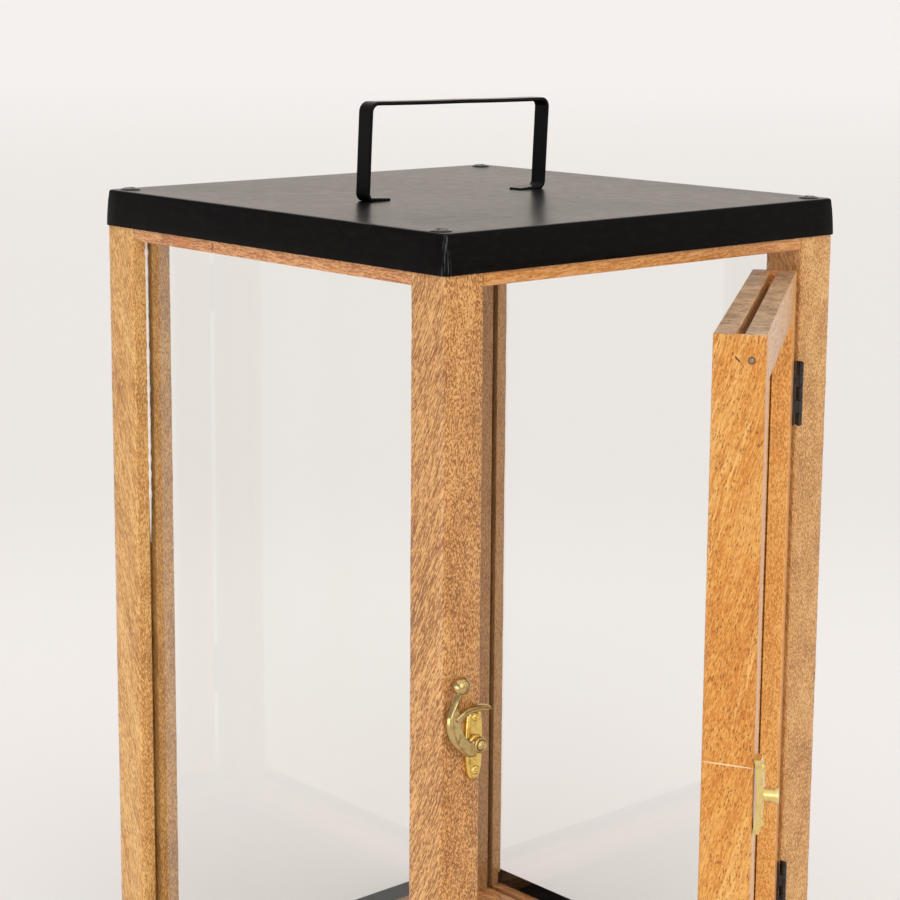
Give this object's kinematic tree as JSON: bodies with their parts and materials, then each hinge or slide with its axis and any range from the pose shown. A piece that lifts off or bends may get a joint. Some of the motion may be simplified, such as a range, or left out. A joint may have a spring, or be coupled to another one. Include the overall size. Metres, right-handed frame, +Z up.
{
  "type": "hanging lantern",
  "caption": "Square wooden lantern with glass sides, a black sheet-metal lid with a strap handle, a metal tray base and a hinged glazed door with a brass swing catch.",
  "frame": {"origin": "centre of the tray's flat underside", "axes": "+Z up, the door is on the -Y side with its hinges at +X and its catch at -X"},
  "size_m": [0.202, 0.3031, 0.382],
  "materials": {
    "black_sheet": "satin black powder coat",
    "black_screw": "satin black",
    "hinge_steel": "blackened steel",
    "clear_glass": "clear float glass",
    "nail_steel": "dull",
    "catch_brass": "polished, slightly worn plating",
    "keeper_brass": "pale polished",
    "dowel_wood": "raw",
    "post_wood": "clear satin lacquer",
    "stile_wood": "clear glossy lacquer",
    "rail_wood": "clear satin lacquer"
  },
  "bodies": {
    "lantern_frame": {"lid": "black_sheet", "lid_screws": "black_screw", "handle": "black_sheet", "post_front_left": "post_wood", "post_front_right": "post_wood", "post_back_left": "post_wood", "post_back_right": "post_wood", "top_rail_front": "rail_wood", "top_rail_back": "rail_wood", "top_rail_left": "rail_wood", "top_rail_right": "rail_wood", "bottom_rail_front": "rail_wood", "bottom_rail_back": "rail_wood", "bottom_rail_left": "rail_wood", "bottom_rail_right": "rail_wood", "top_rail_dowels": "dowel_wood", "glass_left": "clear_glass", "glass_back": "clear_glass", "glass_right": "clear_glass", "tray": "black_sheet", "tray_post_screws": "black_screw", "tray_rail_screws": "black_screw", "upper_hinge_frame_leaf": "hinge_steel", "upper_hinge_pin": "hinge_steel", "lower_hinge_frame_leaf": "hinge_steel", "lower_hinge_pin": "hinge_steel", "hinge_frame_screws": "hinge_steel", "catch_plate": "catch_brass", "catch_rivet": "catch_brass", "catch_screws": "catch_brass"},
    "door": {"upper_hinge_door_leaf": "hinge_steel", "lower_hinge_door_leaf": "hinge_steel", "hinge_door_screws": "hinge_steel", "door_stile_latch": "stile_wood", "door_stile_hinge": "stile_wood", "door_top_rail_outer": "rail_wood", "door_top_rail_inner": "rail_wood", "door_bottom_rail": "rail_wood", "door_glass": "clear_glass", "door_nails": "nail_steel", "keeper": "keeper_brass", "keeper_screws": "keeper_brass"},
    "catch_lever": {"catch_lever": "catch_brass"}
  },
  "joints": [
    {"name": "door_hinge", "type": "hinge", "parent": "lantern_frame", "child": "door", "pos_m": [0.08155, -0.1018, 0.1694], "axis": [0, 0, 1], "range_deg": [-36.3, 138.7]},
    {"name": "catch_turn", "type": "hinge", "parent": "lantern_frame", "child": "catch_lever", "pos_m": [-0.0864, -0.1041, 0.1688], "axis": [0, 1, 0], "range_deg": [-110, 140]}
  ]
}
